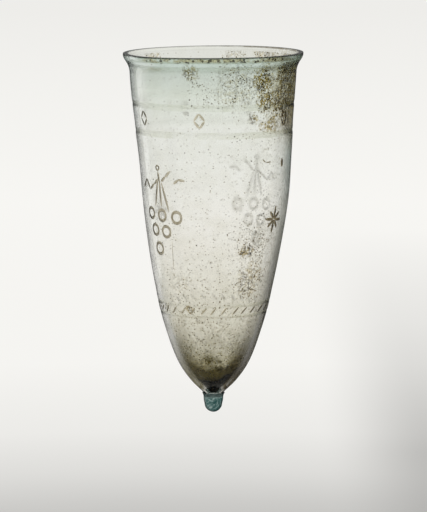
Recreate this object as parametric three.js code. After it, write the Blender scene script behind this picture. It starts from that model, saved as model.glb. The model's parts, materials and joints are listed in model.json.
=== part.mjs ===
// A pointed beaker of blown and wheel-cut glass, in millimetres with +Z up.
// It is a tall cone with a flared lip, ground flat on top.
// A drop of blue-green glass on its tip is the foot knob.
// A crust of burial soil lines the lowest part of the cavity.
// The origin is on the axis, halfway up the cove under the lip, where the ring of a stand holds it.
// Every depth is measured down from the ground top of the lip.

import * as THREE from "three";

// Lip
const mouthRadius = 47.5;
const lipFlare = 3.65;
const lipTopWidth = 2.7;
const lipHeight = 3.9;
const coveHeight = 6.6;

// Blown body, from the top of the lip to the flat on the tip
const blownLength = 182.6;
const tipRadius = 2.6;
const upperWall = 2;
const baseWall = 3;
const cavityFloorRadius = 2.2;

// Cut bands: two wide ones frame the upper register, two fine ones frame the hatching
const upperBandDepth = 26;
const upperRegister = 14.4;
const wideBand = { width: 2.8, cut: 0.32, steps: 4 };
const hatchBandDepth = 130.6;
const hatchRegister = 5.6;
const fineBand = { width: 1.6, cut: 0.3, steps: 2 };

// Foot knob
const knobLength = 10.5;
const knobTopRadius = 6;
const knobNeckRadius = 5.2;
const knobBulbRadius = 4.65;
const collarHeight = 2.4;
const collarEdge = 0.4;

// Soil crust
const crustHeight = 27;
const crustFoot = 0.9;
const crustEdge = 0.35;
const crustFloorRadius = 0.6;

// Clearance between pieces that lie against each other
const seatGap = 0.3;

// Fineness of the round surfaces
const turnSteps = 48;
const lipRings = 3;
const bulbRings = 7;

// Shares that shape the outline
const lipFootShare = 0.62;
const throatShare = 0.75;
const thickeningStartShare = 0.55;

// Outline of the body below the neck: shares of its length, and shares of the neck's radius
const bodyShares = [
  [0, 1],
  [0.05, 0.986],
  [0.102, 0.967],
  [0.148, 0.949],
  [0.189, 0.94],
  [0.23, 0.925],
  [0.288, 0.906],
  [0.363, 0.884],
  [0.439, 0.849],
  [0.517, 0.803],
  [0.59, 0.754],
  [0.664, 0.697],
  [0.72, 0.652],
  [0.786, 0.578],
  [0.86, 0.478],
  [0.909, 0.383],
  [0.952, 0.256],
  [0.976, 0.157],
];

const neckRadius = mouthRadius - lipFlare;
const neckDepth = lipHeight + coveHeight;
const seatDepth = lipHeight + coveHeight / 2;
const bodyLength = blownLength - neckDepth;

const stations = bodyShares.map(([along, across]) => ({
  depth: neckDepth + along * bodyLength,
  radius: across * neckRadius,
}));
stations.push({ depth: blownLength, radius: tipRadius });

function stationSlope(i) {
  const before = stations[Math.max(i - 1, 0)];
  const after = stations[Math.min(i + 1, stations.length - 1)];
  return (after.radius - before.radius) / (after.depth - before.depth);
}

// Radius of the blown body at a depth: a smooth curve through the stations
function bodyRadius(depth) {
  const below = stations.findIndex((station, i) => i > 0 && depth < station.depth);
  const i = (below < 0 ? stations.length - 1 : below) - 1;
  const from = stations[i];
  const to = stations[i + 1];
  const span = to.depth - from.depth;
  const t = (depth - from.depth) / span;
  const rise = t * t * (3 - 2 * t) * (to.radius - from.radius);
  const leave = t * (1 - t) * (1 - t) * span * stationSlope(i);
  const arrive = t * t * (t - 1) * span * stationSlope(i + 1);
  return from.radius + rise + leave + arrive;
}

// How much longer a level cut through a wall is than the wall's true thickness there
function slant(depth) {
  const probe = bodyLength / 2000;
  const upper = Math.max(depth - probe, neckDepth);
  const lower = Math.min(depth + probe, blownLength);
  return Math.hypot(1, (bodyRadius(lower) - bodyRadius(upper)) / (lower - upper));
}

// The wall is even down to the hatching and then swells towards the tip
function wallAt(depth) {
  const start = neckDepth + thickeningStartShare * bodyLength;
  const t = Math.min(Math.max((depth - start) / (blownLength - start), 0), 1);
  return upperWall + (baseWall - upperWall) * t * t * (3 - 2 * t);
}

function cavityRadius(depth) {
  return bodyRadius(depth) - wallAt(depth) * slant(depth);
}

// The depth at which a radius that shrinks down the body has come down to a value
function depthWhere(radiusAt, value) {
  let above = neckDepth;
  let below = blownLength;
  for (let halving = 0; halving < 40; halving++) {
    const middle = (above + below) / 2;
    if (radiusAt(middle) > value) above = middle;
    else below = middle;
  }
  return (above + below) / 2;
}

const cavityFloorDepth = depthWhere(cavityRadius, cavityFloorRadius);
const crustTopDepth = cavityFloorDepth - crustHeight;
const crustFloorDepth = depthWhere(crustRadius, crustFloorRadius);
const knobTopDepth = depthWhere(socketRadius, knobTopRadius - collarEdge);

const bands = [
  { depth: upperBandDepth, ...wideBand },
  { depth: upperBandDepth + upperRegister, ...wideBand },
  { depth: hatchBandDepth, ...fineBand },
  { depth: hatchBandDepth + hatchRegister, ...fineBand },
];

// A band is a shallow round channel that a wheel grinds into the wall
function bandCut(depth) {
  const cuts = bands.map((band) => {
    const across = (depth - band.depth) / (band.width / 2);
    return band.cut * Math.max(1 - across * across, 0);
  });
  return Math.max(...cuts);
}

function evenSteps(from, to, count) {
  return Array.from({ length: count + 1 }, (_, i) => from + ((to - from) * i) / count);
}

// Depths of the rings between two depths: each station, and the middle between two stations
function ringDepths(from, to) {
  const atStations = stations.flatMap((station, i) =>
    i === 0 ? [] : [(station.depth + stations[i - 1].depth) / 2, station.depth],
  );
  return [from, ...atStations.filter((depth) => depth > from && depth < to), to];
}

// Depths of the rings outside, where each band has its own rings instead of those under it
function outerDepths() {
  const plain = ringDepths(neckDepth, blownLength).filter((depth) =>
    bands.every((band) => Math.abs(depth - band.depth) > band.width),
  );
  const inBands = bands.flatMap((band) =>
    evenSteps(band.depth - band.width / 2, band.depth + band.width / 2, band.steps),
  );
  return [...plain, ...inBands].sort((a, b) => a - b);
}

// A point of a profile, at a radius and a depth
function place(radius, depth) {
  return new THREE.Vector2(radius, seatDepth - depth);
}

function bend(from, corner, to) {
  return new THREE.QuadraticBezierCurve(from, corner, to).getPoints(lipRings);
}

// Turns a closed profile, which runs up its outside and down its inside, round the Z axis
function turned(profile) {
  return new THREE.LatheGeometry([...profile, profile[0].clone()], turnSteps).rotateX(Math.PI / 2);
}

// The cove under the lip and the lip's side, from the neck up to the ground top
function lipOutside() {
  const neck = place(neckRadius, neckDepth);
  const hollow = place(neckRadius, neckDepth - coveHeight / 2);
  const foot = place(neckRadius + lipFootShare * lipFlare, lipHeight);
  const swell = place(mouthRadius, lipHeight / 2);
  const edge = place(mouthRadius, 0);
  return [...bend(neck, hollow, foot), ...bend(foot, swell, edge).slice(1)];
}

function lipInside() {
  const edge = place(mouthRadius - lipTopWidth, 0);
  const throat = place(cavityRadius(neckDepth), throatShare * neckDepth);
  const neck = place(cavityRadius(neckDepth), neckDepth);
  return bend(edge, throat, neck);
}

// Depths of the cavity's rings. The crust's rings are among them, so the two surfaces run alike.
function cavityDepths() {
  const aboveCrust = ringDepths(neckDepth, crustTopDepth);
  return [...aboveCrust, ...ringDepths(crustTopDepth, cavityFloorDepth).slice(1)];
}

function makeBowl() {
  const outside = outerDepths().map((depth) => place(bodyRadius(depth) - bandCut(depth), depth));
  const inside = cavityDepths().map((depth) => place(cavityRadius(depth), depth));
  return turned([
    place(0, blownLength),
    ...outside.reverse(),
    ...lipOutside().slice(1),
    ...lipInside(),
    ...inside.slice(1),
    place(0, cavityFloorDepth),
  ]);
}

// The knob's socket is clear of the tip's side and touches the flat on the tip
function socketRadius(depth) {
  return bodyRadius(depth) + seatGap * slant(depth);
}

function makeKnob() {
  const endDepth = knobTopDepth + knobLength;
  const bulb = evenSteps(0, Math.PI / 2, bulbRings).map((angle) => {
    const drop = knobBulbRadius * (1 - Math.cos(angle));
    return place(knobBulbRadius * Math.sin(angle), endDepth - drop);
  });
  const collar = bend(
    place(knobNeckRadius, knobTopDepth + collarHeight),
    place(knobNeckRadius, knobTopDepth + collarHeight / 2),
    place(knobTopRadius, knobTopDepth),
  );
  const socket = ringDepths(knobTopDepth, blownLength).map((depth) =>
    place(socketRadius(depth), depth),
  );
  return turned([...bulb, ...collar, ...socket, place(0, blownLength)]);
}

// Inner radius of the crust, which is thickest at the cavity's floor and thins out upwards
function crustRadius(depth) {
  const t = (depth - crustTopDepth) / crustHeight;
  const thickness = crustEdge + (crustFoot - crustEdge) * t;
  return cavityRadius(depth) - (seatGap + thickness) * slant(depth);
}

// The crust stands on the cavity's floor and is clear of its side
function makeCrust() {
  const outside = ringDepths(crustTopDepth, cavityFloorDepth).map((depth) =>
    place(cavityRadius(depth) - seatGap * slant(depth), depth),
  );
  const inside = ringDepths(crustTopDepth, crustFloorDepth).map((depth) =>
    place(crustRadius(depth), depth),
  );
  const floors = [place(0, cavityFloorDepth), place(0, crustFloorDepth)];
  return turned([floors[0], ...outside.reverse(), ...inside, floors[1]]);
}

function makePiece(name, geometry, look) {
  const piece = new THREE.Mesh(geometry, new THREE.MeshStandardMaterial(look));
  piece.name = name;
  return piece;
}

const paleGlass = { color: 0xd3dcd4, roughness: 0.25, metalness: 0, opacity: 0.4, transparent: true };
const blueGlass = { color: 0x5f8f8a, roughness: 0.12, metalness: 0, opacity: 0.75, transparent: true };
const soil = { color: 0x4a4230, roughness: 0.95, metalness: 0 };

const beaker = new THREE.Group();
beaker.add(makePiece("bowl", makeBowl(), paleGlass));
beaker.add(makePiece("foot_knob", makeKnob(), blueGlass));
beaker.add(makePiece("soil_crust", makeCrust(), soil));

export default beaker;
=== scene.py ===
# %% [markdown]
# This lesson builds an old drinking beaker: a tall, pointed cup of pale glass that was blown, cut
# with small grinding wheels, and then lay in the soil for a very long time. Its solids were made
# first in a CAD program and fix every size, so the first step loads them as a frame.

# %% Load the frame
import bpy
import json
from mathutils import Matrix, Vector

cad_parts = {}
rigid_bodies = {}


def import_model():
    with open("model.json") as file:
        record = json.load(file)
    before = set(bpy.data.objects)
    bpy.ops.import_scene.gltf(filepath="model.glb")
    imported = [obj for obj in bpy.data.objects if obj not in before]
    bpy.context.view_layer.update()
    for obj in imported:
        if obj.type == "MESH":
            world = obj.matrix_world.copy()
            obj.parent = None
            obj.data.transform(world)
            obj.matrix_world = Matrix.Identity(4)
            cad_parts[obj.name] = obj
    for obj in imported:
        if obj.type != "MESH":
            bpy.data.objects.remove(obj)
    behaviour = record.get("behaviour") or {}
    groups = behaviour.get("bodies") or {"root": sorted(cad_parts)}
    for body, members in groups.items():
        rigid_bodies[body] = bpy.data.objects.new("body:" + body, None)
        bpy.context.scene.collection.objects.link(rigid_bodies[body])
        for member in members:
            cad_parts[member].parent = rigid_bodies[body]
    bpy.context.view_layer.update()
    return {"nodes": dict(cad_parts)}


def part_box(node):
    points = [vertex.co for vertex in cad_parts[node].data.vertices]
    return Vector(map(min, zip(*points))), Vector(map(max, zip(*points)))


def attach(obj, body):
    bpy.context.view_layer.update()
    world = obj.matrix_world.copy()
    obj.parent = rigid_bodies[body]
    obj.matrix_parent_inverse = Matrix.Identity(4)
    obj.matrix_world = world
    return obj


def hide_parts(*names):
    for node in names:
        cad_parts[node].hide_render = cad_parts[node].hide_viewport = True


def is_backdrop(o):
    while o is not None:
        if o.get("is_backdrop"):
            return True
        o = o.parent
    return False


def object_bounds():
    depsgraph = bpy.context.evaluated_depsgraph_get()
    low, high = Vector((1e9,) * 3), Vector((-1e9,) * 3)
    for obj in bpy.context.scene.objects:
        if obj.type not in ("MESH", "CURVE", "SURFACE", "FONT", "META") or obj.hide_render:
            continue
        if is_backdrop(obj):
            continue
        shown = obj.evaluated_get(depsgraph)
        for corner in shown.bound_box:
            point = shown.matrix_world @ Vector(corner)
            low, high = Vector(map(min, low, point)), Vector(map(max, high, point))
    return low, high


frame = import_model()

import json
import math
import random

import bpy
from mathutils import Matrix, Vector

MM = 0.001
scene = bpy.context.scene
print("CAD pieces:", ", ".join(sorted(frame["nodes"])))

# %% [markdown]
# Some tools act on all that is selected, and the loaded frame is selected. So every step starts
# by selecting nothing, or one piece alone. A modifier is applied as soon as it is set, so the
# next step always works on the real mesh.

# %% Helpers for selecting and modifiers
def select_nothing():
    if bpy.context.object and bpy.context.object.mode != "OBJECT":
        bpy.ops.object.mode_set(mode="OBJECT")
    bpy.ops.object.select_all(action="DESELECT")


def pick(piece):
    select_nothing()
    piece.select_set(True)
    bpy.context.view_layer.objects.active = piece


def apply_modifier(piece, kind, **settings):
    pick(piece)
    modifier = piece.modifiers.new(kind.lower(), kind)
    for key, value in settings.items():
        setattr(modifier, key, value)
    bpy.ops.object.modifier_apply(modifier=modifier.name)


def count(piece):
    return f"{piece.name}: {len(piece.data.vertices)} points, {len(piece.data.polygons)} faces"


def steps_between(start, end, number):
    return [start + (end - start) * i / number for i in range(number + 1)]

# %% [markdown]
# The picture is taken from a little above the lip with a long lens, so the mouth is a narrow
# ellipse and the sides hardly converge. The camera stands 2.5 m in front of the beaker. A long
# lens far away keeps the proportions true, which a short lens close by would not.

# %% Camera
bowl_low, bowl_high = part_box("bowl")
mouth_radius = bowl_high[0]
lip_z = bowl_high[2]

camera_side = 0.15 * MM
eye = Vector((camera_side, -2.5, lip_z + 190 * MM))
aim = Vector((camera_side, 0, -100.4 * MM))
camera_data = bpy.data.cameras.new("camera")
camera_data.lens = 335.5
camera_data.clip_end = 60
camera = bpy.data.objects.new("camera", camera_data)
camera.location = eye
camera.rotation_euler = (aim - eye).to_track_quat("-Z", "Y").to_euler()
scene.collection.objects.link(camera)
scene.camera = camera
print(f"camera looks down by {math.degrees(math.asin((eye - aim).normalized().z)):.1f} degrees")

# %% [markdown]
# Materials are trees of small nodes. A few helpers keep the cells short. The first adds a node
# and sets its inputs, where a value may also be the output of another node. The next ones add
# what is needed all the time: a sum, a product, a colour ramp, a soft step from one value to
# another, a mix of two colours. The last ones give a material its bump and its shader.

# %% Helpers for nodes
def add_node(tree, kind, inputs=None, **settings):
    node = tree.nodes.new(kind)
    for key, value in settings.items():
        setattr(node, key, value)
    for key, value in (inputs or {}).items():
        if isinstance(value, bpy.types.NodeSocket):
            tree.links.new(value, node.inputs[key])
        else:
            node.inputs[key].default_value = value
    return node


def maths(tree, operation, first, second=0.0, third=0.0, clamp=False):
    values = {0: first, 1: second, 2: third}
    return add_node(tree, "ShaderNodeMath", values, operation=operation, use_clamp=clamp).outputs[0]


def product(tree, first, *others):
    for other in others:
        first = maths(tree, "MULTIPLY", first, other)
    return first


def largest(tree, first, *others):
    for other in others:
        first = maths(tree, "MAXIMUM", first, other)
    return first


def ramp(tree, factor, stops):
    node = add_node(tree, "ShaderNodeValToRGB", {"Fac": factor})
    while len(node.color_ramp.elements) < len(stops):
        node.color_ramp.elements.new(1)
    for element, (position, colour) in zip(node.color_ramp.elements, stops):
        element.position = position
        element.color = (*colour, 1) if isinstance(colour, tuple) else (colour, colour, colour, 1)
    return node.outputs[0]


def spread(tree, value, low, high, to_low=0.0, to_high=1.0):
    """A soft step from to_low, where the value is low, to to_high, where it is high."""
    inputs = {"Value": value, "From Min": low, "From Max": high, "To Min": to_low, "To Max": to_high}
    return add_node(tree, "ShaderNodeMapRange", inputs, interpolation_type="SMOOTHSTEP").outputs[0]


def blend(tree, factor, first, second, way="MIX"):
    """A Mix node for colours has its factor at socket 0, its colours at 6 and 7, its result at 2."""
    inputs = {0: factor, 6: first, 7: second}
    for index in (6, 7):
        if isinstance(inputs[index], tuple):
            inputs[index] = (*inputs[index], 1)
    node = add_node(tree, "ShaderNodeMix", data_type="RGBA", blend_type=way, clamp_factor=True)
    for index, value in inputs.items():
        if isinstance(value, bpy.types.NodeSocket):
            tree.links.new(value, node.inputs[index])
        else:
            node.inputs[index].default_value = value
    return node.outputs[2]


def object_place(tree):
    return add_node(tree, "ShaderNodeTexCoord").outputs["Object"]


def facing_share(tree):
    """0 where the surface faces the viewer, 1 at its outline."""
    return add_node(tree, "ShaderNodeLayerWeight", {"Blend": 0.5}).outputs["Facing"]


def bump(tree, height, strength, distance):
    inputs = {"Height": height, "Strength": strength, "Distance": distance}
    return add_node(tree, "ShaderNodeBump", inputs).outputs[0]


def set_surface(tree, inputs):
    shader = add_node(tree, "ShaderNodeBsdfPrincipled", inputs)
    add_node(tree, "ShaderNodeOutputMaterial", {"Surface": shader.outputs[0]})


def empty_material(name):
    material = bpy.data.materials.get(name) or bpy.data.materials.new(name)
    material.use_nodes = True
    material.node_tree.nodes.clear()
    return material, material.node_tree

# %% [markdown]
# Glass shows what is behind it, so the stage matters as much as the glass. The floor is plain
# and pale, with a painted pool of light that is brightest two metres behind the beaker and a
# painted shade nearer to it. Rays from the camera, and rays that come through the glass or off
# it, see this painted paleness. All other rays see an ordinary matt floor, and a little of it is
# mixed into what the camera sees, with the beaker's soft shadow on it. Mirrored rays get only a
# small part of the paleness, or the glass would look milky. On the right a painted shade makes
# the floor a little darker.

# %% Floor
def sort_rays(tree):
    """Two values: 1 for rays that see the background, and 1 for those of them that are mirrored.

    A ray that glass refracts counts as glossy too, so that share is taken off.
    """
    path = add_node(tree, "ShaderNodeLightPath")
    through = path.outputs["Is Transmission Ray"]
    mirrored = maths(tree, "SUBTRACT", path.outputs["Is Glossy Ray"], through, clamp=True)
    direct = maths(tree, "MAXIMUM", path.outputs["Is Camera Ray"], through)
    return maths(tree, "MAXIMUM", direct, mirrored), mirrored


floor_z = -0.30
floor_reach = 6.0
# Distance from the axis in metres, and the brightness of the painted light there
FLOOR_PAINTED_LIGHT = [
    (0.20, 0.52),
    (0.38, 0.57),
    (0.51, 0.73),
    (0.68, 0.865),
    (1.01, 0.965),
    (2.13, 1.0),
    (4.88, 0.92),
]
# Distance from the axis in metres, and the share that the painted shade takes away there on the
# right
FLOOR_PAINTED_SHADE = [(0.34, 0.29), (0.60, 0.41), (0.91, 0.27), (1.24, 0.15), (1.90, 0.0)]
warm_white = (1, 0.992, 0.962)
painted_shade_starts, painted_shade_is_full = 0.07, 0.15
mirror_dimming = 0.94
seen_paleness = 0.88
extra_mirrored_paleness = 0.1

select_nothing()
bpy.ops.mesh.primitive_plane_add(size=60, location=(0, 0, floor_z))
floor = bpy.context.object
floor.name = "floor"
floor_paint, tree = empty_material("pale_floor")
seen, mirrored = sort_rays(tree)
place = object_place(tree)
distance = add_node(tree, "ShaderNodeVectorMath", {0: place}, operation="LENGTH").outputs["Value"]
reached = maths(tree, "DIVIDE", distance, floor_reach)
# A painted pool of light, by distance from the axis, and a painted shade on the right
painted_light_stops = [(d / floor_reach, tuple(b * part for part in warm_white)) for d, b in FLOOR_PAINTED_LIGHT]
painted_light = ramp(tree, reached, painted_light_stops)
painted_shade = ramp(tree, reached, [(d / floor_reach, lost) for d, lost in FLOOR_PAINTED_SHADE])
sideways = add_node(tree, "ShaderNodeSeparateXYZ", {0: place}).outputs["X"]
painted_shade = product(tree, painted_shade, spread(tree, sideways, painted_shade_starts, painted_shade_is_full))
dimmer = maths(tree, "MULTIPLY_ADD", mirrored, -mirror_dimming, 1)
dimmer = product(tree, dimmer, maths(tree, "SUBTRACT", 1, painted_shade))
shine = add_node(tree, "ShaderNodeEmission", {"Color": painted_light, "Strength": dimmer})
matt = add_node(tree, "ShaderNodeBsdfDiffuse", {"Color": (0.8, 0.79, 0.77, 1)})
matt_share = maths(tree, "MULTIPLY_ADD", seen, -seen_paleness, 1)
matt_share = maths(tree, "MULTIPLY_ADD", mirrored, -extra_mirrored_paleness, matt_share)
layers = {0: matt_share, 1: shine.outputs[0], 2: matt.outputs[0]}
mixed = add_node(tree, "ShaderNodeMixShader", layers)
add_node(tree, "ShaderNodeOutputMaterial", {"Surface": mixed.outputs[0]})
floor.data.materials.append(floor_paint)
floor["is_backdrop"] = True
print(f"floor {-floor_z / MM:.0f} mm below the stand's ring, {len(tree.nodes)} nodes")

# %% [markdown]
# Above the floor the room is the same pale colour, from the world's background. Rays that light
# the scene see a duller world, so the lamps keep the upper hand.

# %% World
world = bpy.data.worlds.new("pale_room")
world.use_nodes = True
scene.world = world
tree = world.node_tree
tree.nodes.clear()
room_brightness = 0.89
room_mirror_dimming = 0.7
room_light = 0.45
seen, mirrored = sort_rays(tree)
dimmer = maths(tree, "MULTIPLY_ADD", mirrored, -room_mirror_dimming, room_brightness)
backdrop_inputs = {"Color": (1, 0.993, 0.965, 1), "Strength": dimmer}
backdrop = add_node(tree, "ShaderNodeBackground", backdrop_inputs)
fill = add_node(tree, "ShaderNodeBackground", {"Color": (1, 0.99, 0.97, 1), "Strength": room_light})
layers = {0: seen, 1: fill.outputs[0], 2: backdrop.outputs[0]}
mixed = add_node(tree, "ShaderNodeMixShader", layers)
add_node(tree, "ShaderNodeOutputWorld", {"Surface": mixed.outputs[0]})

scene.view_settings.view_transform = "Standard"
print("background nodes:", len(tree.nodes))

# %% [markdown]
# Three soft lamps light the beaker. A wide one overhead gives the plain light. A tall, narrow one
# stands behind the left side: a round glass wall mirrors it as the bright streak along the edge.
# A weaker one on the right keeps that side from going flat. They are hidden from the camera.

# %% Lamps
lamp_aim = Vector((0, 0, -80 * MM))


def add_lamp(name, place, width, height, watts, mirrored=False):
    data = bpy.data.lights.new(name, "AREA")
    data.shape = "RECTANGLE"
    data.size = width
    data.size_y = height
    data.energy = watts
    lamp = bpy.data.objects.new(name, data)
    lamp.location = place
    lamp.rotation_euler = (lamp_aim - Vector(place)).to_track_quat("-Z", "Y").to_euler()
    lamp.visible_camera = False
    lamp.visible_glossy = mirrored
    lamp.visible_transmission = False
    scene.collection.objects.link(lamp)


def round_the_axis(turn, distance, height):
    """A place that is turned from the front towards the right, in degrees."""
    angle = math.radians(turn)
    return (distance * math.sin(angle), -distance * math.cos(angle), height)


add_lamp("overhead_lamp", (0.25, -0.35, 1.3), width=1.0, height=1.0, watts=16)
add_lamp("left_streak_lamp", round_the_axis(-123, 0.6, -0.03), width=0.15, height=0.52,
         watts=0.22, mirrored=True)
add_lamp("right_lamp", round_the_axis(75, 1.0, 0.15), width=0.3, height=0.6, watts=0.6)

# %% [markdown]
# Now the glass. The frame gives the outer sizes; what is left are a few sizes of the glass
# itself, in millimetres, written here once. The origin is level with the ring that would hold
# the beaker under its lip, so depths are measured down from the ground top of the lip.

# %% Sizes of the glass
blown_length = lip_z - bowl_low[2]
lip_flare = 3.65 * MM
lip_width = 2.7 * MM
lip_height = 3.9 * MM
cove_height = 6.6 * MM
tip_radius = 2.6 * MM
upper_wall = 2.0 * MM
base_wall = 3.0 * MM
floor_radius = 2.2 * MM

neck_radius = mouth_radius - lip_flare
neck_depth = lip_height + cove_height
body_length = blown_length - neck_depth
print(f"mouth {2 * mouth_radius / MM:.1f} mm wide, glass {blown_length / MM:.1f} mm long")

# %% [markdown]
# The outline of the blown body is a smooth curve through a row of stations: how far down the body
# each one lies, and how much of the neck's radius is left there. Between two stations the curve
# is a cubic whose slopes come from the neighbours, the way a draughtsman's spline behaves.

# %% Outline of the blown body
BODY_SHARES = [
    (0, 1), (0.05, 0.986), (0.102, 0.967), (0.148, 0.949), (0.189, 0.94), (0.23, 0.925),
    (0.288, 0.906), (0.363, 0.884), (0.439, 0.849), (0.517, 0.803), (0.59, 0.754), (0.664, 0.697),
    (0.72, 0.652), (0.786, 0.578), (0.86, 0.478), (0.909, 0.383), (0.952, 0.256), (0.976, 0.157),
]
stations = [(neck_depth + down * body_length, left * neck_radius) for down, left in BODY_SHARES]
stations.append((blown_length, tip_radius))


def station_slope(i):
    before = stations[max(i - 1, 0)]
    after = stations[min(i + 1, len(stations) - 1)]
    return (after[1] - before[1]) / (after[0] - before[0])


def body_radius(depth):
    below = [i for i, station in enumerate(stations) if i > 0 and depth < station[0]]
    i = (below[0] if below else len(stations) - 1) - 1
    (depth_a, radius_a), (depth_b, radius_b) = stations[i], stations[i + 1]
    span = depth_b - depth_a
    t = (depth - depth_a) / span
    rise = t * t * (3 - 2 * t) * (radius_b - radius_a)
    leave = t * (1 - t) ** 2 * span * station_slope(i)
    arrive = t * t * (t - 1) * span * station_slope(i + 1)
    return radius_a + rise + leave + arrive


def slope_at(depth):
    """How fast the radius grows with depth, measured over a short step."""
    probe = body_length / 2000
    upper = max(depth - probe, neck_depth)
    lower = min(depth + probe, blown_length)
    return (body_radius(lower) - body_radius(upper)) / (lower - upper)


thickening_start_share = 0.55


def wall_at(depth):
    """Even down to a little below the middle, then swelling towards the tip."""
    start = neck_depth + thickening_start_share * body_length
    t = min(max((depth - start) / (blown_length - start), 0), 1)
    return upper_wall + (base_wall - upper_wall) * t * t * (3 - 2 * t)


def cavity_radius(depth):
    """A level cut through a leaning wall is longer than the wall is thick."""
    return body_radius(depth) - wall_at(depth) * math.hypot(1, slope_at(depth))


def depth_where(radius_at, value):
    """The depth at which a shrinking radius has come down to a value, by halving the stretch."""
    above, below = neck_depth, blown_length
    for _ in range(40):
        middle = (above + below) / 2
        if radius_at(middle) > value:
            above = middle
        else:
            below = middle
    return (above + below) / 2


cavity_floor = depth_where(cavity_radius, floor_radius)
print(f"cavity {cavity_floor / MM:.1f} mm deep, {2 * cavity_radius(neck_depth) / MM:.1f} mm wide")

# %% [markdown]
# A glass wheel grinds a shallow round channel. Four channels run right round the beaker: two
# wide ones frame the upper register, and two narrow ones frame a row of slanting cuts. They
# belong to the outline, so they are turned together with the wall.

# %% Channels round the body
BANDS = [
    # depth, width and cut, in millimetres
    (26.0, 3.4, 0.20),
    (40.4, 3.4, 0.20),
    (130.6, 2.1, 0.11),
    (136.2, 2.1, 0.11),
]
bands = [(depth * MM, width * MM, cut * MM) for depth, width, cut in BANDS]


def band_cut(depth):
    """How deep the channels are at a depth: each is deepest in its middle and ends softly."""
    cuts = []
    for middle, width, cut in bands:
        across = (depth - middle) / (width / 2)
        cuts.append(cut * max(1 - across * across, 0) ** 2)
    return max(cuts)


def outer_depths():
    """Even steps down the body, with finer ones across each channel instead."""
    plain = steps_between(neck_depth, blown_length, 96)
    depths = [d for d in plain if all(abs(d - middle) > 0.6 * width for middle, width, _ in bands)]
    for middle, width, _ in bands:
        depths += steps_between(middle - width / 2, middle + width / 2, 10)
    return sorted(depths)


def bend(start, corner, end, number):
    """Points along a curve that leaves and arrives in line with a corner."""
    points = []
    for t in steps_between(0, 1, number):
        points.append(tuple((1 - t) ** 2 * a + 2 * t * (1 - t) * b + t * t * c
                            for a, b, c in zip(start, corner, end)))
    return points

# %% [markdown]
# Blown glass is round because it is turned, and Blender's Spin is the same motion. The outline is
# drawn as one line: a single point is extruded from place to place, up the outside, over the
# ground lip and down the inside. Spin sweeps it round the axis, the points that meet are merged,
# and the normals are made to face outwards. A Screw modifier would do as well, but in edit mode
# each step shows.

# %% Spin an outline
def spin_outline(name, outline, steps):
    """Turns a line of (radius, depth) places round the axis into a closed piece."""
    select_nothing()
    bpy.ops.mesh.primitive_plane_add(size=MM, location=(0, 0, 0))
    piece = bpy.context.object
    piece.name = name
    bpy.ops.object.mode_set(mode="EDIT")
    bpy.ops.mesh.select_all(action="SELECT")
    bpy.ops.mesh.merge(type="CENTER")
    bpy.ops.transform.translate(value=(outline[0][0], 0, lip_z - outline[0][1]))
    for (radius_a, depth_a), (radius_b, depth_b) in zip(outline, outline[1:]):
        step = (radius_b - radius_a, 0, depth_a - depth_b)
        bpy.ops.mesh.extrude_region_move(TRANSFORM_OT_translate={"value": step})
    bpy.ops.mesh.select_all(action="SELECT")
    bpy.ops.mesh.spin(steps=steps, angle=math.tau, center=(0, 0, 0), axis=(0, 0, 1))
    bpy.ops.mesh.select_all(action="SELECT")
    bpy.ops.mesh.remove_doubles(threshold=0.001 * MM)
    bpy.ops.mesh.normals_make_consistent(inside=False)
    bpy.ops.object.mode_set(mode="OBJECT")
    return piece

# %% [markdown]
# The bowl's outline starts at the flat on the tip. The lip flares out over a hollow cove, and its
# top was ground flat on a stone. Grinding leaves an edge that is sharp but not a razor's, so the
# flat ends a few tenths of a millimetre before each side.

# %% Bowl
lip_foot_share = 0.62
lip_swell = 0.12 * MM
throat_share = 0.75

lip_foot = (neck_radius + lip_foot_share * lip_flare, lip_height)
cove = bend((neck_radius, neck_depth), (neck_radius, neck_depth - cove_height / 2), lip_foot, 10)
lip_edge = (mouth_radius - 0.1 * MM, 0.12 * MM)
lip_side = bend(lip_foot, (mouth_radius + lip_swell, lip_height / 2), lip_edge, 6)
lip_top = [(mouth_radius - 0.3 * MM, 0), (mouth_radius - lip_width + 0.25 * MM, 0)]
inner_edge = (mouth_radius - lip_width, 0.15 * MM)
inner_neck = (cavity_radius(neck_depth), neck_depth)
throat = bend(inner_edge, (inner_neck[0], throat_share * neck_depth), inner_neck, 12)
outside = [(body_radius(d) - band_cut(d), d) for d in reversed(outer_depths())]
inside = [(cavity_radius(d), d) for d in steps_between(neck_depth, cavity_floor, 84)]

bowl_outline = [(0, blown_length)] + outside + cove[1:] + lip_side[1:] + lip_top
bowl_outline += throat + inside[1:] + [(0, cavity_floor)]
bowl = spin_outline("beaker_bowl", bowl_outline, steps=288)
print(count(bowl))

# %% [markdown]
# The ornament lies on a round, leaning wall, so its places aren't given as X, Y and Z. A place is
# an angle, from the front round to the right, and a depth below the lip. A second helper steps
# aside from such a place by a few millimetres, measured along the wall.

# %% Places on the wall
def wall_place(turn, depth, lift=0.0):
    """A spot on the outside and the direction that stands on the wall there."""
    normal = Vector((1, 0, slope_at(depth))).normalized()
    spot = Vector((body_radius(depth), 0, lip_z - depth)) + normal * lift
    around = Matrix.Rotation(math.radians(turn - 90), 3, "Z")
    return around @ spot, around @ normal


def offset_place(turn, depth, across, down):
    """The turn and depth of a point given in millimetres across and down from a place."""
    low = depth + down * MM
    return turn + math.degrees(across * MM / body_radius(low)), low

# %% [markdown]
# The ornament is cut with small wheels that turn at right angles to the wall. A wheel leaves a
# boat: a cut that starts shallow, deepens and ends shallow. So the cutter for every straight
# stroke is a stretched ball that dips into the wall, and a round grape is a ring. Both are made
# once and copied. A drawn bevelled curve would cut as well, but not shallow at both ends.

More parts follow.
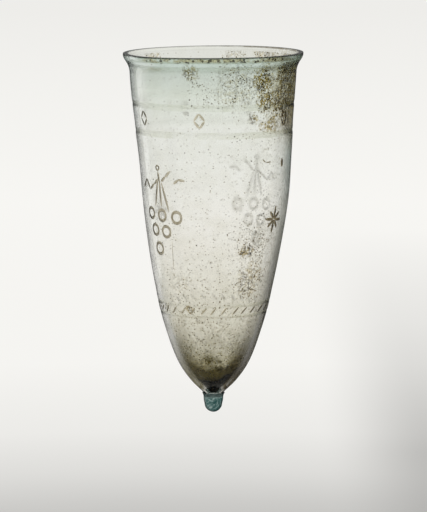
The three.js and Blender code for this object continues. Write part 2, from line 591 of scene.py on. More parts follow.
# %% Wheel cutters
select_nothing()
bpy.ops.mesh.primitive_uv_sphere_add(segments=16, ring_count=10, radius=1)
boat = bpy.context.object
boat.name = "boat_cutter"
select_nothing()
ring_thickness = 0.50
bpy.ops.mesh.primitive_torus_add(major_segments=40, minor_segments=12, major_radius=1,
                                 minor_radius=ring_thickness)
ring = bpy.context.object
ring.name = "ring_cutter"
cutters = bpy.data.collections.new("wheel_cutters")
scene.collection.children.link(cutters)


def add_cutter(source, matrix):
    cutter = source.copy()
    cutter.data = source.data.copy()
    cutter.data.transform(matrix)
    cutters.objects.link(cutter)


def stand_on(spot, along, normal):
    """A matrix that stands a shape on a spot, its X axis along a direction."""
    side = normal.cross(along).normalized()
    forward = side.cross(normal).normalized()
    turned = Matrix((forward, side, normal)).transposed().to_4x4()
    return Matrix.Translation(spot) @ turned


def cut_stroke(turn, depth, start, end, width=1.2, deep=0.32):
    """A boat between two points, in millimetres across and down from a place on the wall."""
    # The ball's centre rides above the wall, so only its lowest part cuts
    rise = 1.5 * deep
    ball = rise + deep
    reach = math.sqrt(1 - (rise / ball) ** 2)
    spot_a, _ = wall_place(*offset_place(turn, depth, *start))
    spot_b, _ = wall_place(*offset_place(turn, depth, *end))
    middle = ((start[0] + end[0]) / 2, (start[1] + end[1]) / 2)
    spot, normal = wall_place(*offset_place(turn, depth, *middle), lift=rise * MM)
    length = (spot_b - spot_a).length
    size = (length / 2 / reach, width / 2 / reach * MM, ball * MM, 1)
    add_cutter(boat, stand_on(spot, spot_b - spot_a, normal) @ Matrix.Diagonal(size))


def cut_ring(turn, depth, middle, radius, deep=0.3):
    """A round channel about a middle that is given like a point of a stroke."""
    lift = (ring_thickness * radius - deep) * MM
    spot, normal = wall_place(*offset_place(turn, depth, *middle), lift=lift)
    size = Matrix.Diagonal((radius * MM, radius * MM, radius * MM, 1))
    add_cutter(ring, stand_on(spot, Vector((0, 0, 1)), normal) @ size)

# %% [markdown]
# Four motifs stand in the large field, a bunch of grapes and a star by turns. The grapes hang
# from three stalks under a bow with two fluttering ends. The upper register holds a plain row of
# lozenges, and a row of slanting strokes closes the field below. One long fine scratch and three
# short strokes are there too: they make the piece look used.

# %% Motifs
STALKS_AND_BOW = [
    # start and end in millimetres, across and down
    ((-0.5, -3.6), (-5.2, 16.6)),
    ((-0.1, -3.0), (0.4, 16.0)),
    ((0.2, -3.4), (6.6, 19.4)),
    ((-0.9, -5.0), (0, 1.2)),
    ((-1.0, -0.8), (-4.6, 2.2)),
    ((-4.2, 1.6), (-8.7, 5.2)),
    ((-8.4, 5.0), (-12.2, -0.5)),
    ((-12.0, -0.4), (-16.0, 4.7)),
    ((1.2, 0.4), (4.6, -2.6)),
    ((4.0, -2.0), (8.2, -5.6)),
    ((9.6, 1.1), (13.0, -1.4)),
    ((12.4, -1.3), (16.8, -0.7)),
]
GRAPES = [(-9.0, 17.6), (0.3, 18.2), (10.2, 18.8), (-6.2, 26.2), (2.6, 26.7), (-4.0, 36.0)]
BOW_KNOT = (-0.8, -6.8)
LOZENGE = [(0, -3.9), (2.9, 0), (0, 3.9), (-2.9, 0)]
SCRATCHES = [
    # turn, depth, start and end, width, depth of the cut
    (-39.0, 104.0, (0.4, -9.2), (-0.3, 9.2), 0.4, 0.14),
    (39.3, 54.2, (-1.1, -1.0), (1.0, 0.9), 0.7, 0.2),
    (43.9, 55.0, (-2.1, 0), (2.1, 0), 0.7, 0.2),
    (60.1, 56.1, (0, -2.3), (0.2, 2.1), 2.6, 0.4),
]
# Where each motif stands: turns in degrees, and one depth for all of a kind
BUNCH_TURNS = (-48.1, 145.0)
STAR_TURNS = (54.8, -124.0)
LOZENGE_TURNS = (-60, -10.4, 60.5, 107, 152, -158, -109)
hatching_strokes = 32
bunch_depth = 65.0 * MM
star_depth = 85.7 * MM
lozenge_depth = 32.6 * MM
hatching_depth = 133.4 * MM


def cut_bunch(turn, depth):
    for start, end in STALKS_AND_BOW:
        cut_stroke(turn, depth, start, end, width=1.5)
    for i, middle in enumerate(GRAPES):
        cut_ring(turn, depth, middle, radius=2.75 + 0.12 * (i % 3))
    cut_ring(turn, depth, BOW_KNOT, radius=1.15)


def cut_star(turn, depth, rays=8, lean=0.08):
    for ray in range(rays):
        angle = math.tau * ray / rays + lean
        reach = 7.4 if ray % 2 == 0 else 6.2
        inner = (0.1 * math.sin(angle), -0.1 * math.cos(angle))
        outer = (reach * math.sin(angle), -reach * math.cos(angle))
        cut_stroke(turn, depth, inner, outer, width=1.75)


def cut_lozenge(turn, depth):
    for start, end in zip(LOZENGE, LOZENGE[1:] + LOZENGE[:1]):
        cut_stroke(turn, depth, start, end, width=1.35)


def cut_hatching(depth, number, wobble):
    for i in range(number):
        turn = 360 * i / number + wobble.uniform(-0.9, 0.9)
        lean = wobble.uniform(1.6, 2.1)
        tall = wobble.uniform(1.9, 2.6)
        cut_stroke(turn, depth, (-lean, tall), (lean, -tall), width=1.15)


for turn in BUNCH_TURNS:
    cut_bunch(turn, bunch_depth)
for turn in STAR_TURNS:
    cut_star(turn, star_depth)
for turn in LOZENGE_TURNS:
    cut_lozenge(turn, lozenge_depth)
cut_hatching(hatching_depth, hatching_strokes, random.Random(4))
for turn, depth, start, end, width, deep in SCRATCHES:
    cut_stroke(turn, depth * MM, start, end, width, deep)

# %% [markdown]
# One Boolean modifier takes all the cutters of a collection away in one go. The faces that a
# cutter leaves keep the cutter's material slot, so bowl and cutters get the same slots first: the
# cuts then have a ground, matt finish of their own. The four channels have another. The inside
# of the wall has a third: its faces are those that look towards the axis.

# %% Cut the bowl
BOWL_SLOTS = ("pale_glass", "wheel_cut", "ground_band", "glass_inside")
OUTER_SLOT, CUT_SLOT, BAND_SLOT, INNER_SLOT = range(4)


def give_slots(piece):
    piece.data.materials.clear()
    for name in BOWL_SLOTS:
        piece.data.materials.append(bpy.data.materials.get(name) or bpy.data.materials.new(name))


def slot_of(face):
    depth = lip_z - face.center.z
    outwards = face.normal.x * face.center.x + face.normal.y * face.center.y
    if outwards < -0.001 * MM:
        return INNER_SLOT
    in_band = any(abs(depth - middle) < width / 2 for middle, width, _ in bands)
    return BAND_SLOT if in_band else OUTER_SLOT


give_slots(bowl)
for face in bowl.data.polygons:
    face.material_index = slot_of(face)
for cutter in cutters.objects:
    give_slots(cutter)
    for face in cutter.data.polygons:
        face.material_index = CUT_SLOT
apply_modifier(bowl, "BOOLEAN", operation="DIFFERENCE", solver="MANIFOLD",
               operand_type="COLLECTION", collection=cutters)
for cutter in list(cutters.objects) + [boat, ring]:
    bpy.data.objects.remove(cutter)
bpy.data.collections.remove(cutters)
cut_faces = sum(face.material_index == CUT_SLOT for face in bowl.data.polygons)
print(count(bowl), "of which", cut_faces, "are wheel cut")

# %% [markdown]
# Long burial leaves a skin of soil on the inside of the glass. It is a separate thing, thin and
# broken, so it gets a mesh of its own: a cup that follows the cavity at a tenth of a millimetre.
# Its material will make most of it clear. The outline is the cavity's own, moved off the wall.

# %% Soil film
def move_off(points, gap):
    """The same outline, moved by a gap off the wall, for points that run down the inside."""
    moved = []
    for i, (radius, depth) in enumerate(points):
        before = points[max(i - 1, 0)]
        after = points[min(i + 1, len(points) - 1)]
        across, down = after[0] - before[0], after[1] - before[1]
        length = math.hypot(across, down)
        moved.append((max(radius - gap * down / length, 0), depth + gap * across / length))
    return moved


film_gap = 0.10 * MM
film_thickness = 0.10 * MM
cavity = throat[2:] + inside[1::2] + [(floor_radius / 2, cavity_floor)]
film_outside = move_off(cavity, film_gap)
film_inside = move_off(cavity, film_gap + film_thickness)
film_outline = [(0, film_outside[-1][1])] + film_outside[::-1]
film_outline += film_inside + [(0, film_inside[-1][1])]
film = spin_outline("soil_film", film_outline, steps=144)
print(count(film))

# %% [markdown]
# In the tip the soil lies thicker, as a lining that is lumpy inside and thins out upwards. It is
# spun like the rest. The points of its inner side are then chosen by their distance from the
# axis, and a Displace modifier with a soft cloud texture raises lumps there.

# %% Soil crust
crust_top = lip_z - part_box("soil_crust")[1][2]
crust_gap = 0.24 * MM
crust_edge = 0.35 * MM
crust_foot = 0.9 * MM
crust_floor_radius = 0.6 * MM
crust_floor = cavity_floor - 2.2 * MM

crust_depths = steps_between(crust_top, cavity_floor, 40)
crust_wall = [(cavity_radius(d), d) for d in crust_depths] + [(floor_radius / 2, cavity_floor)]
crust_outside = move_off(crust_wall, crust_gap)
crust_inside = []
for i, point in enumerate(move_off(crust_wall, crust_gap + crust_edge)):
    t = i / len(crust_depths)
    radius = point[0] - (crust_foot - crust_edge) * t
    crust_inside.append((max(radius, crust_floor_radius), point[1]))
crust_inside = [point for point in crust_inside if point[1] < crust_floor]
crust_outline = [(0, crust_outside[-1][1])] + crust_outside[::-1]
crust_outline += crust_inside + [(0, crust_inside[-1][1])]
crust = spin_outline("soil_crust_lining", crust_outline, steps=128)


def is_inner(vertex):
    depth = lip_z - vertex.co.z
    radius = math.hypot(vertex.co.x, vertex.co.y)
    return radius < cavity_radius(min(depth, cavity_floor)) - crust_gap - 0.75 * crust_edge


inner_side = crust.vertex_groups.new(name="inner_side")
inner_side.add([v.index for v in crust.data.vertices if is_inner(v)], 1, "REPLACE")
lumps = bpy.data.textures.new("soil_lumps", "CLOUDS")
lumps.noise_scale = 2.2 * MM
lumps.noise_depth = 3
apply_modifier(crust, "DISPLACE", texture=lumps, texture_coords="LOCAL", mid_level=0.5,
               strength=0.5 * MM, vertex_group="inner_side")
print(count(crust))

# %% [markdown]
# The knob on the tip is a drop of blue-green glass that was pressed on hot. Its collar hugs the
# tip, its waist is a little narrower, and its end is a half ball. Drops are never quite even, so
# a broad cloud texture pushes its surface about by a few hundredths of a millimetre.

# %% Foot knob
knob_low, knob_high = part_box("foot_knob")
knob_top = lip_z - knob_high[2]
knob_end = lip_z - knob_low[2]
knob_top_radius = knob_high[0]
knob_neck_radius = 5.2 * MM
knob_bulb_radius = 4.65 * MM
collar_height = 2.4 * MM
collar_drop = 0.15 * MM
socket_gap = 0.1 * MM
socket_floor = blown_length + 0.05 * MM

bulb = []
for angle in steps_between(0, math.pi / 2, 14):
    drop = knob_bulb_radius * (1 - math.cos(angle))
    bulb.append((knob_bulb_radius * math.sin(angle), knob_end - drop))
waist = (knob_neck_radius, knob_top + collar_height)
collar_top = (knob_top_radius, knob_top + collar_drop)
collar = bend(waist, (knob_neck_radius, knob_top + collar_height / 2), collar_top, 8)
side_corner = (knob_neck_radius, (bulb[-1][1] + waist[1]) / 2)
side = bend(bulb[-1], side_corner, waist, 6)
socket = [(body_radius(d) + socket_gap * math.hypot(1, slope_at(d)), d)
          for d in steps_between(knob_top, blown_length, 6)]
knob_outline = bulb + side[1:] + collar[1:] + socket + [(0, socket_floor)]
knob = spin_outline("blue_green_knob", knob_outline, steps=96)
drift = bpy.data.textures.new("glass_drift", "CLOUDS")
drift.noise_scale = 4 * MM
apply_modifier(knob, "DISPLACE", texture=drift, texture_coords="LOCAL", mid_level=0.5,
               strength=0.16 * MM)
print(count(knob))

# %% [markdown]
# Here and there the soil stands up in crumbs, and those catch the light, so they are geometry and
# not paint. A list says where the patches are. The soil film will be stained and dotted in the
# same places, so that crumbs and film look like one soil.

# %% Soil patches
PATCHES = [
    # name, turn in degrees, depth, reach down and across in millimetres, crumbs, stain, dots
    ("stain_right", 39, 12, 8.0, 60, 0.9, 0.8),
    ("dark_right", 44, 23, 7.5, 110, 0.8, 1.0),
    ("dark_right_edge", 58, 23, 9.5, 150, 0.9, 1.0),
    ("lip_right", 62, 11, 10.0, 120, 0.7, 1.0),
    ("edge_right", 78, 18, 12.0, 60, 1.0, 1.0),
    ("edge_right_low", 72, 33, 8.0, 30, 0.7, 0.7),
    ("dotted_middle", 18, 13, 12.0, 90, 0.24, 0.45),
    ("spot_left", -16.5, 7.5, 4.2, 20, 0.5, 0.8),
    ("dotted_left", -3, 18, 9.0, 60, 0.0, 0.3),
    ("register_near", 31, 32, 3.4, 16, 0.8, 0.6),
    ("register_right", 48, 34, 4.8, 26, 0.7, 0.6),
    ("rim_back", 165, 3.5, 6.0, 40, 0.2, 0.5),
    ("rim_back_right", 138, 4, 7.5, 70, 0.35, 0.7),
    ("rim_right", 112, 5, 7.5, 70, 0.5, 0.8),
    ("side_upper", 36, 97, 12.0, 230, 0.10, 0.45),
    ("side_black", 29, 102, 4.2, 60, 0.6, 1.0),
    ("side_lower", 37, 117, 9.5, 230, 0.30, 0.6),
    ("side_back", 128, 100, 8.0, 20, 0.0, 0.3),
    ("hatching_left", -27, 133, 3.0, 10, 0.8, 0.8),
    ("left_low", -38, 119, 6.0, 8, 0.2, 0.1),
    ("rim_back_left", -132, 4, 6.5, 45, 0.25, 0.6),
    ("register_between", 40, 35, 3.6, 24, 0.55, 0.6),
]

# %% [markdown]
# One crumb is a small ball of twenty faces, pressed flat. It is copied along the wall, many times
# in the patches and thinly elsewhere, each time turned and sized by a seeded draw. All the copies
# are joined at the end, because hundreds of small objects would only slow the scene down.

# %% Crumbs
select_nothing()
bpy.ops.mesh.primitive_ico_sphere_add(subdivisions=1, radius=1)
crumb = bpy.context.object
crumb.name = "crumb"
draw = random.Random(11)
crumbs = []
scattered_crumbs = 170
swollen_share = 0.12
patch_spread = 0.42
lowest_crumb = cavity_floor - 14 * MM


def inner_place(turn, depth, lift):
    """A spot off the inside of the wall and the direction towards the axis."""
    normal = Vector((-1, 0, -slope_at(depth))).normalized()
    spot = Vector((cavity_radius(depth), 0, lip_z - depth)) + normal * lift
    around = Matrix.Rotation(math.radians(turn - 90), 3, "Z")
    return around @ spot, around @ normal


def drop_crumb(turn, depth, widest=0.18, swollen=1.6):
    """Half sunk into the film: its size in millimetres is drawn, and a few are swollen."""
    size = draw.uniform(0.05, widest) * MM * (swollen if draw.random() < swollen_share else 1)
    depth = min(neck_depth + abs(depth - neck_depth), lowest_crumb)
    spot, normal = inner_place(turn, depth, film_gap + film_thickness + 0.35 * size)
    along = Vector((draw.uniform(-1, 1), draw.uniform(-1, 1), draw.uniform(-1, 1)))
    shape = (size * draw.uniform(0.9, 1.5), size * draw.uniform(0.7, 1.0), size * 0.6, 1)
    piece = crumb.copy()
    piece.data = crumb.data.copy()
    piece.data.transform(stand_on(spot, along, normal) @ Matrix.Diagonal(shape))
    scene.collection.objects.link(piece)
    crumbs.append(piece)


for _, turn, depth, reach, number, _, _ in PATCHES:
    for _ in range(number):
        down = draw.gauss(0, patch_spread * reach) * MM
        across = math.degrees(draw.gauss(0, patch_spread * reach) * MM / body_radius(depth * MM))
        drop_crumb(turn + across, depth * MM + down)
for _ in range(scattered_crumbs):
    turn = draw.triangular(-180, 180, 75)
    drop_crumb(turn, blown_length * draw.triangular(0.07, 0.92, 0.8), widest=0.07, swollen=1.2)

bpy.data.objects.remove(crumb)
select_nothing()
for piece in crumbs:
    piece.select_set(True)
bpy.context.view_layer.objects.active = crumbs[0]
bpy.ops.object.join()
grains = bpy.context.object
grains.name = "soil_crumbs"
print(count(grains))

# %% [markdown]
# A blown and tooled vessel is never quite straight. A Lattice is a cage of few points that bends
# all that is inside it, softly. Every piece goes through the same cage, so they keep fitting each
# other. A list says how far each level leans to the right, in millimetres and from the knob up,
# and small seeded shifts take away the machine look. The top level also lifts the lip a little
# in front and on the right, because the real lip isn't quite level.

# %% Bend everything alike
select_nothing()
bpy.ops.object.add(type="LATTICE", location=(0, 0, (lip_z + knob_low[2]) / 2))
cage = bpy.context.object
cage_size = (2.1 * mouth_radius, 2.1 * mouth_radius, 1.01 * (lip_z - knob_low[2]))
cage.scale = cage_size
# How far each level leans to the right, from the knob up, in millimetres
LEANS = [0, 0.25, 0.2, 0.4, 0.85, 1.5, 0.8, -0.2, 0]
# How far the top level is lifted: rows from front to back, columns from left to right
LIP_LIFTS = [
    (-1.0, 0.7, 0.8, 0.4),
    (-0.4, 0.5, 0.6, 0.5),
    (-0.2, 0.1, 0.5, 0.6),
    (-0.2, 0.0, 0.5, 0.6),
]
cage.data.points_u = len(LIP_LIFTS[0])
cage.data.points_v = len(LIP_LIFTS)
cage.data.points_w = len(LEANS)
top_level = len(LEANS) - 1
last_row = len(LIP_LIFTS) - 1
unevenness = 0.25
shift = random.Random(7)
for point in cage.data.points:
    level = round(top_level * (point.co.z + 0.5))
    inner = math.sin(math.pi * level / top_level)
    uneven = [shift.uniform(-unevenness, unevenness) * MM * inner for _ in "xy"]
    point.co_deform.x += (LEANS[level] * MM + uneven[0]) / cage_size[0]
    point.co_deform.y += uneven[1] / cage_size[1]
    if level == top_level:
        column = round(last_row * (point.co.x + 0.5))
        row = round(last_row * (point.co.y + 0.5))
        point.co_deform.z += LIP_LIFTS[row][column] * MM / cage_size[2]
for piece in (bowl, film, crust, knob, grains):
    apply_modifier(piece, "LATTICE", object=cage)
bpy.data.objects.remove(cage)

# Edges sharper than this many degrees stay sharp, as the rims of the wheel cuts do
SMOOTH_BELOW = ((bowl, 30), (film, 60), (crust, 60), (knob, 60), (grains, 20))
for piece, degrees in SMOOTH_BELOW:
    pick(piece)
    bpy.ops.object.shade_smooth_by_angle(angle=math.radians(degrees))
low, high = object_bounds()
print("box in mm:", [round(v / MM, 2) for v in (*low, *high)])

# %% [markdown]
# Now the finishes. Effects that several materials share are built once, as node groups with
# named inputs and outputs. The first makes fine specks: a Voronoi pattern gives every cell a
# random colour, and only a share of the cells gets a dot. All patterns use object coordinates,
# in metres, so they sit still on the glass from every side.

# %% Group for specks
FLOAT = "NodeSocketFloat"


def new_group(name, inputs, outputs):
    tree = bpy.data.node_groups.new(name, "ShaderNodeTree")
    for socket, kind, value in inputs:
        item = tree.interface.new_socket(name=socket, in_out="INPUT", socket_type=kind)
        item.default_value = value
    for socket, kind in outputs:
        tree.interface.new_socket(name=socket, in_out="OUTPUT", socket_type=kind)
    source = tree.nodes.new("NodeGroupInput")
    return tree, source.outputs


def use_group(tree, group, **inputs):
    node = add_node(tree, "ShaderNodeGroup", node_tree=group)
    for key, value in inputs.items():
        socket = node.inputs[key.capitalize()]
        if isinstance(value, bpy.types.NodeSocket):
            tree.links.new(value, socket)
        else:
            socket.default_value = value
    return node.outputs[0]


specks_group, given = new_group(
    "specks",
    [("Scale", FLOAT, 900.0), ("Share", FLOAT, 0.2), ("Size", FLOAT, 0.35)],
    [("Mask", FLOAT)],
)
tree = specks_group
cell_inputs = {"Vector": object_place(tree), "Scale": given["Scale"]}
cells = add_node(tree, "ShaderNodeTexVoronoi", cell_inputs)
dice = add_node(tree, "ShaderNodeSeparateColor", {0: cells.outputs["Color"]})
chosen = maths(tree, "LESS_THAN", dice.outputs[0], given["Share"])
radius = product(tree, given["Size"], spread(tree, dice.outputs[1], 0, 1, 0.45, 1.25))
edge = maths(tree, "DIVIDE", cells.outputs["Distance"], radius)
dot = spread(tree, edge, 0.75, 1.15, 1, 0)
add_node(tree, "NodeGroupOutput", {"Mask": product(tree, dot, chosen)})

# %% [markdown]
# The second group marks one patch: full in its middle, ragged at its edge. It measures the
# distance to a centre and adds noise to it.

# %% Group for patches
patch_group, given = new_group(
    "ragged_patch",
    [("Centre", "NodeSocketVector", (0, 0, 0)), ("Reach", FLOAT, 0.01), ("Ragged", FLOAT, 0.8)],
    [("Mask", FLOAT)],
)
tree = patch_group
place = object_place(tree)
away = add_node(tree, "ShaderNodeVectorMath", {0: place, 1: given["Centre"]}, operation="DISTANCE")
near = maths(tree, "DIVIDE", away.outputs["Value"], given["Reach"])
noise_inputs = {"Vector": place, "Scale": 110.0, "Detail": 8.0, "Roughness": 0.7}
noise = add_node(tree, "ShaderNodeTexNoise", noise_inputs).outputs[0]
uneven = maths(tree, "SUBTRACT", noise, 0.5)
rough = maths(tree, "MULTIPLY_ADD", uneven, given["Ragged"], near)
add_node(tree, "NodeGroupOutput", {"Mask": spread(tree, rough, 0.35, 1.1, 1, 0)})

# %% [markdown]
# The third group makes clouds between a low and a high threshold, for haze, stains and streaks.
# Its height can be squeezed, which flattens the clouds into bands.

# %% Group for clouds
cloud_group, given = new_group(
    "clouds",
    [("Scale", FLOAT, 100.0), ("Flatten", FLOAT, 1.0), ("Low", FLOAT, 0.4), ("High", FLOAT, 0.6),
     ("Detail", FLOAT, 4.0)],
    [("Mask", FLOAT)],
)
tree = cloud_group
place = object_place(tree)
squeeze = add_node(tree, "ShaderNodeCombineXYZ", {0: 1.0, 1: 1.0, 2: given["Flatten"]}).outputs[0]
flat = add_node(tree, "ShaderNodeVectorMath", {0: place, 1: squeeze}, operation="MULTIPLY")
noise_inputs = {"Vector": flat.outputs[0], "Scale": given["Scale"], "Detail": given["Detail"],
                "Roughness": 0.6}
noise = add_node(tree, "ShaderNodeTexNoise", noise_inputs).outputs[0]
add_node(tree, "NodeGroupOutput", {"Mask": spread(tree, noise, given["Low"], given["High"])})


def clouds(tree, scale, low, high, detail=4.0, flatten=1.0):
    return use_group(tree, cloud_group, scale=scale, low=low, high=high, detail=detail,
                     flatten=flatten)


print("groups:", ", ".join(group.name for group in bpy.data.node_groups))

# %% [markdown]
# Place steers most of the wear: there is more soil low down and on the right. One helper reads
# how deep a point lies and where it is. Another lays all the patches of the list on the glass,
# moved aside as far as the cage has bent the wall there.

# %% Place and patches
def read_place(tree):
    """Depth, from 0 at the top of the lip to 1 at the end of the blown glass, and X, Y and Z."""
    parts = add_node(tree, "ShaderNodeSeparateXYZ", {0: object_place(tree)}).outputs
    down = maths(tree, "SUBTRACT", lip_z, parts["Z"])
    return maths(tree, "DIVIDE", down, blown_length), parts["X"], parts["Y"], parts["Z"]


def soil_patches(tree, grow, ragged):
    """Two values: how stained a point is, and how thickly it is dotted."""
    stains, dots = [], []
    for _, turn, depth, reach, _, stain, dotted in PATCHES:
        centre, _ = wall_place(turn, depth * MM)
        level = round(top_level - top_level * depth * MM / blown_length)
        centre.x += LEANS[level] * MM
        mask = use_group(tree, patch_group, centre=centre, reach=reach * grow * MM, ragged=ragged)
        stains.append(product(tree, mask, stain))
        dots.append(product(tree, mask, dotted))
    return largest(tree, *stains), largest(tree, *dots)

# %% [markdown]
# The Principled shader tints light by the square root of its base colour each time it enters or
# leaves, so a wall passes about the base colour. The tint changes down the wall: blue-green at
# the thick lip, nearly clear in the middle, greyer below. Each list holds shares of the depth and
# the colour there: the tint for the front and for the far side, and the painted shade for the
# left and the right outline.

# %% Tints down the wall
FRONT_TINTS = [
    (0.00, (0.62, 0.74, 0.68)),
    (0.05, (0.70, 0.77, 0.74)),
    (0.10, (0.84, 0.90, 0.86)),
    (0.20, (0.94, 0.96, 0.94)),
    (0.45, (0.985, 0.985, 0.975)),
    (0.60, (0.97, 0.965, 0.94)),
    (0.72, (0.96, 0.95, 0.91)),
    (0.84, (0.94, 0.935, 0.89)),
    (0.95, (0.90, 0.89, 0.83)),
]
BACK_TINTS = [
    (0.00, (0.84, 0.855, 0.82)),
    (0.05, (0.86, 0.87, 0.84)),
    (0.075, (0.98, 0.985, 0.97)),
    (0.30, (0.975, 0.98, 0.97)),
    (0.60, (0.965, 0.96, 0.935)),
    (0.84, (0.94, 0.935, 0.89)),
]
# The colours of the painted shade at the outline: first on the left, then on the right
LEFT_OUTLINE_SHADE = [
    (0.00, (0.06, 0.15, 0.13)),
    (0.15, (0.06, 0.14, 0.12)),
    (0.30, (0.14, 0.18, 0.16)),
    (0.45, (0.22, 0.23, 0.19)),
    (0.60, (0.10, 0.10, 0.075)),
    (0.90, (0.10, 0.09, 0.065)),
]
RIGHT_OUTLINE_SHADE = [
    (0.00, (0.10, 0.16, 0.13)),
    (0.05, (0.15, 0.13, 0.06)),
    (0.18, (0.15, 0.13, 0.07)),
    (0.30, (0.14, 0.18, 0.16)),
] + LEFT_OUTLINE_SHADE[3:]
# How strongly the painted shade darkens the outline, down the wall
OUTLINE_SHADE_SHARES = [(0.00, 0.95), (0.14, 0.6), (0.30, 0.36), (0.45, 0.16), (0.65, 0.25), (0.90, 0.2)]


def wall_tint(tree, depth, front):
    return blend(tree, front, ramp(tree, depth, BACK_TINTS), ramp(tree, depth, FRONT_TINTS))


def front_share(tree, y):
    """0 on the far side, 1 on the side towards the viewer."""
    return spread(tree, y, 10 * MM, -16 * MM)

# %% [markdown]
# Towards its outline the colour is darkened with a painted shade, in place of the dark room that
# the edge of the glass bends in. Layer Weight gives that from every side alike. On the right the
# painted shade starts further in, and on the left a painted reflection of the bright room, a pale
# strip, lies before it.

# %% Painted shade and reflection on the outline
def paint_outline_light_and_shade(tree, tint, depth, x, front):
    facing = facing_share(tree)
    # A painted reflection of the bright room: a pale strip on the left, in front
    left = spread(tree, x, -14 * MM, -24 * MM, 0, 0.8)
    pale = product(tree, left, spread(tree, facing, 0.36, 0.50), front)
    tint = blend(tree, pale, tint, (0.97, 0.985, 0.98))
    # A painted shade: narrow along the whole outline, and broad on the right, where it starts
    # further in
    right = spread(tree, x, -8 * MM, 14 * MM)
    narrow_painted_shade = product(tree, spread(tree, facing, 0.62, 0.92), ramp(tree, depth, OUTLINE_SHADE_SHARES))
    broad = product(tree, spread(tree, facing, 0.30, 0.78), right)
    dark = blend(tree, right, ramp(tree, depth, LEFT_OUTLINE_SHADE), ramp(tree, depth, RIGHT_OUTLINE_SHADE))
    painted_shade_tint = blend(tree, 1.0, tint, dark, "MULTIPLY")
    return blend(tree, largest(tree, narrow_painted_shade, broad), tint, painted_shade_tint)

# %% [markdown]
# Low down the glass is darkened on both sides, measured in shares of the
# body's own half width, and most of all at the very tip, under the cavity's floor. High up on the
# right it is darkened to brown, broken up by clouds.

# %% Tint of the darkened sides
WIDTH_AT = (0.60, 0.70, 0.78, 0.85, 0.90, 0.94, 0.97)
HALF_WIDTHS = [(share, body_radius(share * blown_length) / mouth_radius) for share in WIDTH_AT]
UPPER_RIGHT_SHARES = [(0.0, 0.3), (0.03, 1.0), (0.17, 1.0), (0.21, 0.5), (0.28, 0.0)]


def tint_low_sides(tree, tint, depth, x):
    aside = maths(tree, "DIVIDE", maths(tree, "ABSOLUTE", x), mouth_radius)
    aside = maths(tree, "DIVIDE", aside, ramp(tree, depth, HALF_WIDTHS))
    low = spread(tree, depth, 0.76, 0.95)
    low = product(tree, low, spread(tree, aside, 0.44, 0.84), spread(tree, aside, 0.99, 0.91))
    right = spread(tree, x, -5 * MM, 7 * MM)
    soiled = blend(tree, right, (0.16, 0.14, 0.07), (0.07, 0.05, 0.022))
    tint = blend(tree, low, tint, soiled, "MULTIPLY")
    under_floor = spread(tree, depth, 0.9960, 0.9980)
    return blend(tree, under_floor, tint, (0.02, 0.016, 0.01), "MULTIPLY")


def tint_upper_right(tree, tint, depth, x):
    far_right = spread(tree, x, 24 * MM, 41 * MM)
    broken = clouds(tree, scale=360.0, low=0.40, high=0.58, detail=6.0)
    upper_right_brown = product(tree, far_right, ramp(tree, depth, UPPER_RIGHT_SHARES), broken)
    return blend(tree, upper_right_brown, tint, (0.32, 0.24, 0.05), "MULTIPLY")


def glass_tint(tree):
    depth, x, y, _ = read_place(tree)
    front = front_share(tree, y)
    tint = wall_tint(tree, depth, front)
    tint = paint_outline_light_and_shade(tree, tint, depth, x, front)
    tint = tint_low_sides(tree, tint, depth, x)
    return tint_upper_right(tree, tint, depth, x)

# %% [markdown]
# On the lip a painted shade makes a dark line along the ground edge, and a patchy band of dust
# lies under it in front. The line follows the lift that the cage gave the lip, and thins out to the
# left.

# %% Painted shade and dust on the lip
def lip_shade_and_dust(tree):
    """Two values: the painted dark line along the edge, and the band of dust under it."""
    _, x, y, z = read_place(tree)
    flat = add_node(tree, "ShaderNodeCombineXYZ", {0: x, 1: y}).outputs[0]
    radius = add_node(tree, "ShaderNodeVectorMath", {0: flat}, operation="LENGTH").outputs["Value"]
    outer = spread(tree, radius, mouth_radius - 1.0 * MM, mouth_radius - 0.7 * MM)
    lowered = spread(tree, x, -42 * MM, -5 * MM, 0.2 * MM, -0.5 * MM)
    level = maths(tree, "ADD", z, lowered)
    top = spread(tree, level, lip_z - 0.75 * MM, lip_z - 0.5 * MM)
    patchy = clouds(tree, scale=130.0, low=0.25, high=0.6, detail=6.0)
    # The dark line along the ground edge is a painted shade
    line = product(tree, outer, top, spread(tree, patchy, 0, 1, 0.8, 1))
    front = spread(tree, y, -26 * MM, -33 * MM)
    band = spread(tree, level, lip_z - 3.4 * MM, lip_z - 1.6 * MM)
    ragged = clouds(tree, scale=240.0, low=0.36, high=0.56, detail=8.0)
    return line, product(tree, front, band, ragged)

# %% [markdown]
# All of this goes into the material of the outer wall. Flat streaks and stains keep the tint
# uneven, specks lie in the band under the lip, and a low bump takes away the machined look.

# %% Pale glass
_, tree = empty_material("pale_glass")
tint = glass_tint(tree)
streaks = clouds(tree, scale=22.0, low=0.4, high=0.7, flatten=6.0)
tint = blend(tree, product(tree, streaks, 0.22), tint, (0.80, 0.82, 0.76), "MULTIPLY")
stain = clouds(tree, scale=75.0, low=0.55, high=0.75, detail=6.0)
tint = blend(tree, product(tree, stain, 0.2), tint, (0.74, 0.70, 0.56), "MULTIPLY")
line, band = lip_shade_and_dust(tree)
tint = blend(tree, product(tree, band, 0.85), tint, (0.30, 0.23, 0.06))
dust_share = product(tree, band, 0.95)
dust = use_group(tree, specks_group, scale=700.0, share=dust_share, size=0.5)
tint = blend(tree, product(tree, dust, 0.97), tint, (0.003, 0.002, 0.001))
